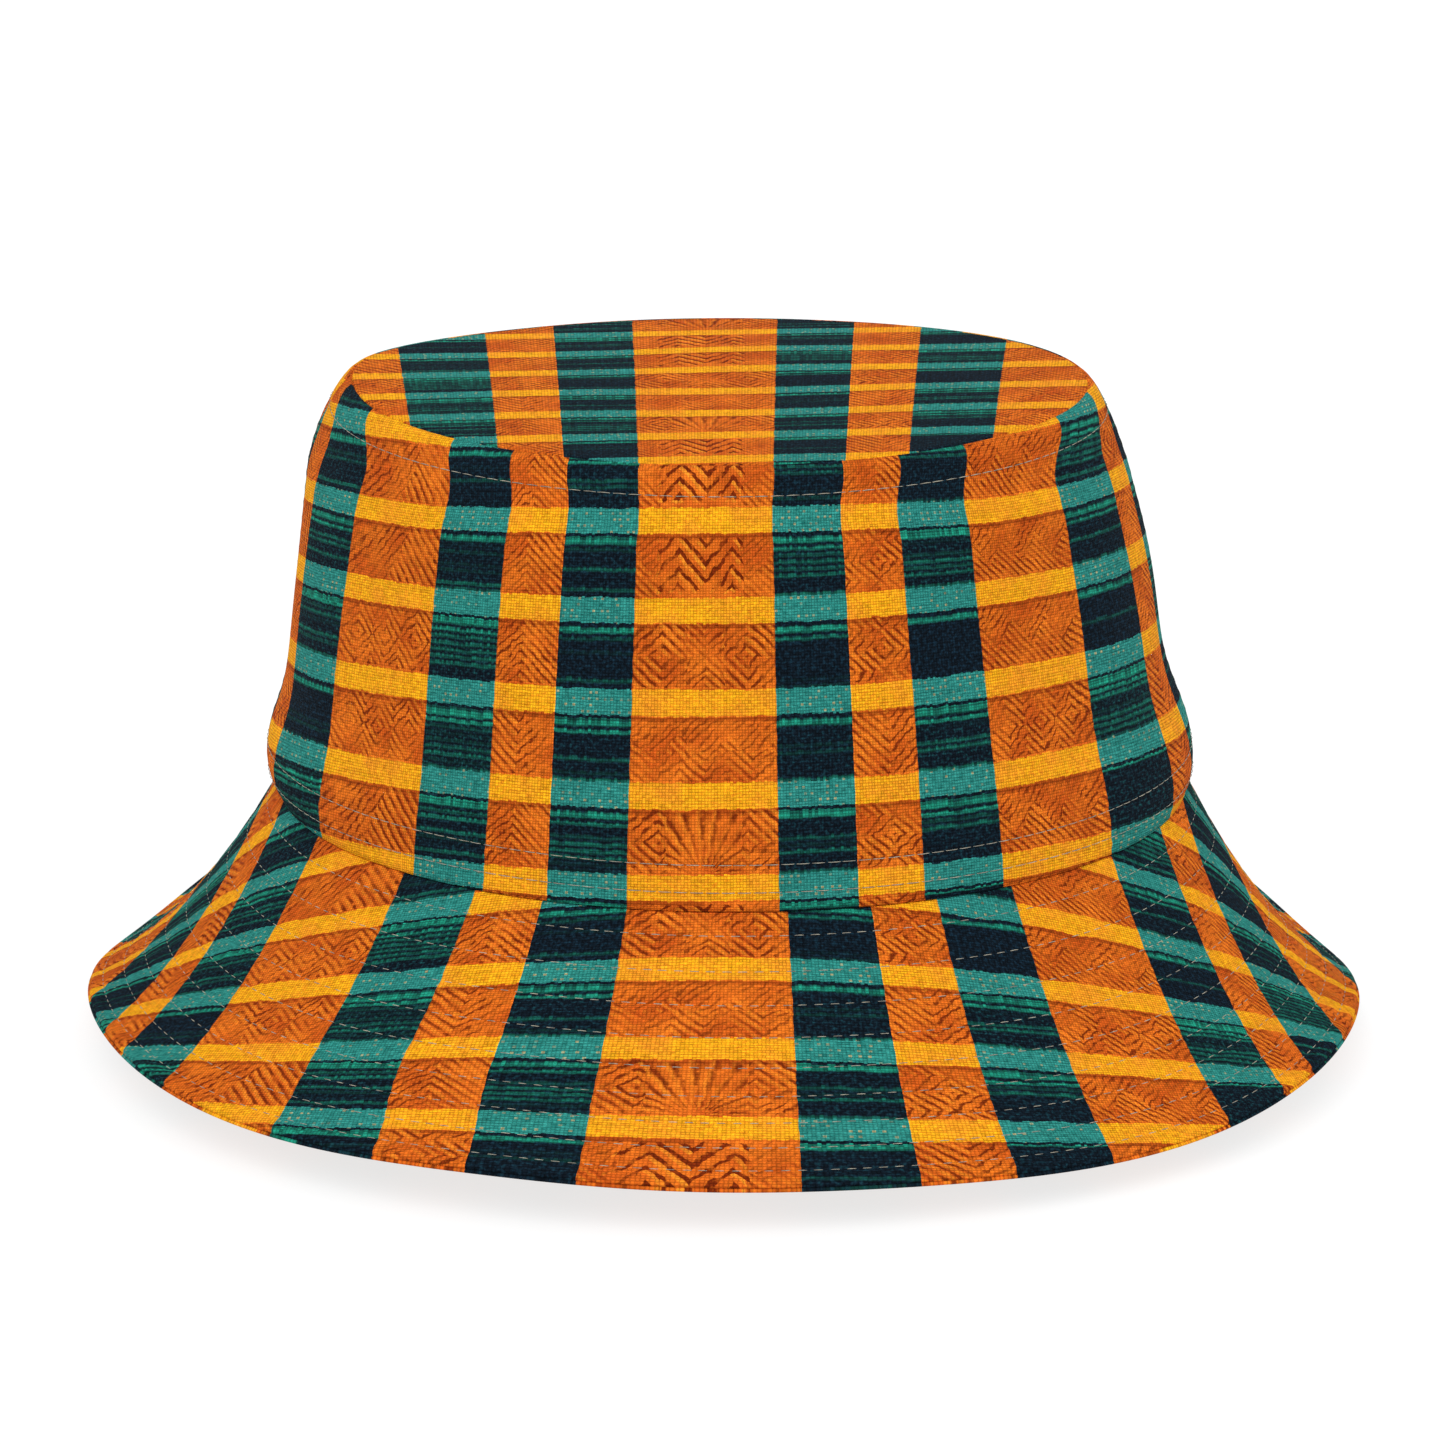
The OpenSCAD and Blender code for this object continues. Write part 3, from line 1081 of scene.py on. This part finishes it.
# ---------------------------------------------------------------- front and back halves
OUTER = grooved(rolled_wall())
for half, columns, back in (("front", FRONT, False), ("back", BACK, True)):
    piece = crown_sheet(f"side_band_{half}", OUTER, columns, back, PRINTED, CLOTH)
    fold_with_top(piece)
    finish_piece(f"side_panel_{half}")

    piece = crown_sheet(f"lining_{half}", inset(WALL, LINING_DEPTH), columns, back, LINED, LINING)
    fold_with_top(piece)
    finish_piece(f"lining_side_{half}")

    piece = brim_sheet(f"brim_face_{half}", columns, back, 0, PRINTED, CLOTH, FACE_ROWS)
    turn_with_brim(piece)
    finish_piece(f"brim_upper_{half}")

    piece = brim_sheet(
        f"brim_stiffener_{half}", columns, back, STIFFENER_DROP, STIFF, STIFFENER, STIFFENER_ROWS,
    )
    turn_with_brim(piece)
    finish_piece(f"brim_interlining_{half}")

    piece = brim_sheet(f"brim_underside_{half}", columns, back, UNDER_DROP, PRINTED, CLOTH, UNDER_ROWS)
    turn_with_brim(piece)
    finish_piece(f"brim_lower_{half}")

# ---------------------------------------------------------------- tip
piece = tip_sheet("tip_cloth", 0, TIP_R - TIP_INSET, PRINTED, CLOTH)
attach(piece, "crown_top")
finish_piece("crown_tip")

piece = tip_sheet("tip_lining", LINING_DEPTH, TIP_R - TIP_LINING_INSET, LINED, LINING)
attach(piece, "crown_top")
finish_piece("lining_tip")

# ---------------------------------------------------------------- sweatband and label
# The sweatband's two ends nearly meet behind the label
BAND_LENGTH = BAND_TOP_Z - SEAM_Z
LOW_WALL = [p for p in WALL if p[1] < BAND_LENGTH]
BAND_TURN = turn(-179.8, 179.8)
piece = crown_sheet("sweatband_tape", inset(LOW_WALL, SWEATBAND_DEPTH), BAND_TURN, False, TWILL, TAPE)
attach(piece, "crown")
finish_piece("sweatband")

LABEL_WALL = [p for p in WALL if LABEL_LOW < p[1] < LABEL_HIGH]
LABEL_TURN = turn(LABEL_START, LABEL_END, LABEL_STEPS)
piece = crown_sheet("blank_label", inset(LABEL_WALL, LABEL_DEPTH), LABEL_TURN, True, SATIN, LABEL)
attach(piece, "crown")
finish_piece("care_label")

# ---------------------------------------------------------------- rows of stitches
piece = ring_stitches("tip_seam_stitches", [wall_row(WALL, WALL_LENGTH - TIP_ROW)])
fold_with_top(piece)
finish_piece("tip_topstitch")

piece = side_stitches("side_seam_stitches")
fold_with_top(piece)
finish_piece("side_seam_topstitch")

piece = ring_stitches("head_seam_stitches", [wall_row(WALL, at) for at in HEAD_ROWS])
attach(piece, "crown")
finish_piece("head_seam_topstitch")

BAND_FACE = inset(WALL, BAND_FACE_DEPTH)
piece = ring_stitches("sweatband_stitches", [wall_row(BAND_FACE, HEAD_ROWS[0])], -1)
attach(piece, "crown")
finish_piece("sweatband_stitch")

BRIM_SHARES = [brim_row_share(i) for i in range(BRIM_ROWS)]
piece = ring_stitches("brim_stitches", [brim_row(share, 0) for share in BRIM_SHARES])
turn_with_brim(piece)
finish_piece("brim_topstitch")

piece = ring_stitches("brim_underside_stitches", [brim_row(share, UNDER_FACE) for share in BRIM_SHARES], -1)
turn_with_brim(piece)
finish_piece("brim_underside_stitch")


# ---------------------------------------------------------------- floor, light and camera
FLOOR, FLOOR_GAP = 6.0, 0.6 * MM
FLOOR_GREY, FLOOR_GLOW = 0.26, 0.75
SKY_LIGHT, SKY_SEEN = 0.8, 0.25

# Name, direction it shines from, softness in degrees, and strength
LAMPS = (
    ("key", (-0.5, -1.0, 1.6), 50, 1.3),
    ("fill", (0.9, -0.8, 1.2), 60, 0.6),
)


def pale_floor():
    """A pale floor that glows a little, so that only soft shadows show on it."""
    mesh = bpy.data.meshes.new("floor")
    corners = [(-FLOOR, -FLOOR, 0), (FLOOR, -FLOOR, 0), (FLOOR, FLOOR, 0), (-FLOOR, FLOOR, 0)]
    mesh.from_pydata(corners, [], [(0, 1, 2, 3)])
    floor = link("floor", mesh)
    floor.location.z = -FLOOR_GAP
    material, tree, shader = new_material("pale_floor")
    shader.inputs["Base Color"].default_value = (FLOOR_GREY, FLOOR_GREY, FLOOR_GREY, 1)
    shader.inputs["Roughness"].default_value = 0.9
    shader.inputs["Emission Color"].default_value = (1, 1, 1, 1)
    shader.inputs["Emission Strength"].default_value = FLOOR_GLOW
    mesh.materials.append(material)


def white_sky():
    """White light from all round, which looks brighter to the camera than it shines."""
    world = bpy.context.scene.world or bpy.data.worlds.new("studio")
    bpy.context.scene.world = world
    world.use_nodes = True
    tree = world.node_tree
    background = tree.nodes["Background"]
    background.inputs["Color"].default_value = (1, 1, 1, 1)
    seen = Number(tree, tree.nodes.new("ShaderNodeLightPath").outputs["Is Camera Ray"])
    feed(tree, background.inputs["Strength"], seen * SKY_SEEN + SKY_LIGHT)


def soft_lamps():
    for name, source, softness, strength in LAMPS:
        lamp = bpy.data.lights.new(name, "SUN")
        lamp.angle = math.radians(softness)
        lamp.energy = strength
        obj = link(name, lamp)
        obj.rotation_euler = (-Vector(source)).to_track_quat("-Z", "Y").to_euler()


def camera():
    """Front view from slightly above."""
    distance, elevation, pitch = 754 * MM, math.radians(16.25), math.radians(15.7)
    lens = bpy.data.cameras.new("camera")
    lens.lens = 90.9
    lens.sensor_width = 36
    lens.clip_start = 0.01
    obj = link("camera", lens)
    obj.location = (0, -distance * math.cos(elevation), SEAM_Z + distance * math.sin(elevation))
    obj.rotation_euler = (math.pi / 2 - pitch, 0, 0)
    bpy.context.scene.camera = obj


pale_floor()
white_sky()
soft_lamps()
camera()
bpy.context.scene.view_settings.view_transform = "Standard"
